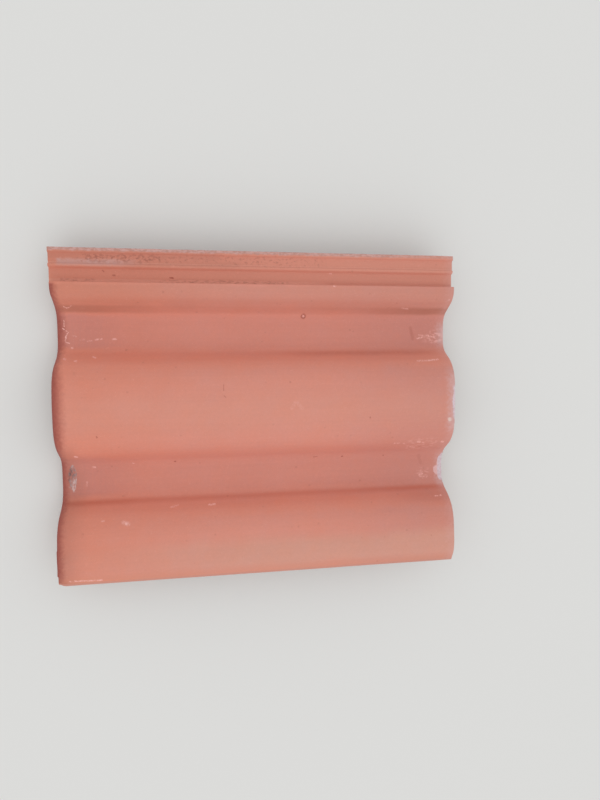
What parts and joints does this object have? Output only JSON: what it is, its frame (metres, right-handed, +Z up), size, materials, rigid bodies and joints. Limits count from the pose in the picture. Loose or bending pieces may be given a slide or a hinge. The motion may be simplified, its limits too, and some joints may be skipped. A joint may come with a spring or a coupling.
{
  "type": "clay roof tile",
  "caption": "Interlocking terracotta roof tile with rounded rolls, flat pans, a ribbed side lock, an overlapping lip, a rounded nose and batten nibs.",
  "frame": {"origin": "middle of the tile's outline on the level floor that it lies on", "axes": "+X from the nose (lower end on a roof) to the head, +Y towards the side lock, +Z up; the tile lies face up on its first weather bar and its nibs, so its length rises 1.41 degrees towards the head"},
  "size_m": [0.4158, 0.334, 0.0591],
  "materials": {
    "fired_clay": "matt terracotta with dust, dull scuffs and small chips"
  },
  "bodies": {
    "root": {"roof_tile": "fired_clay"}
  },
  "joints": []
}
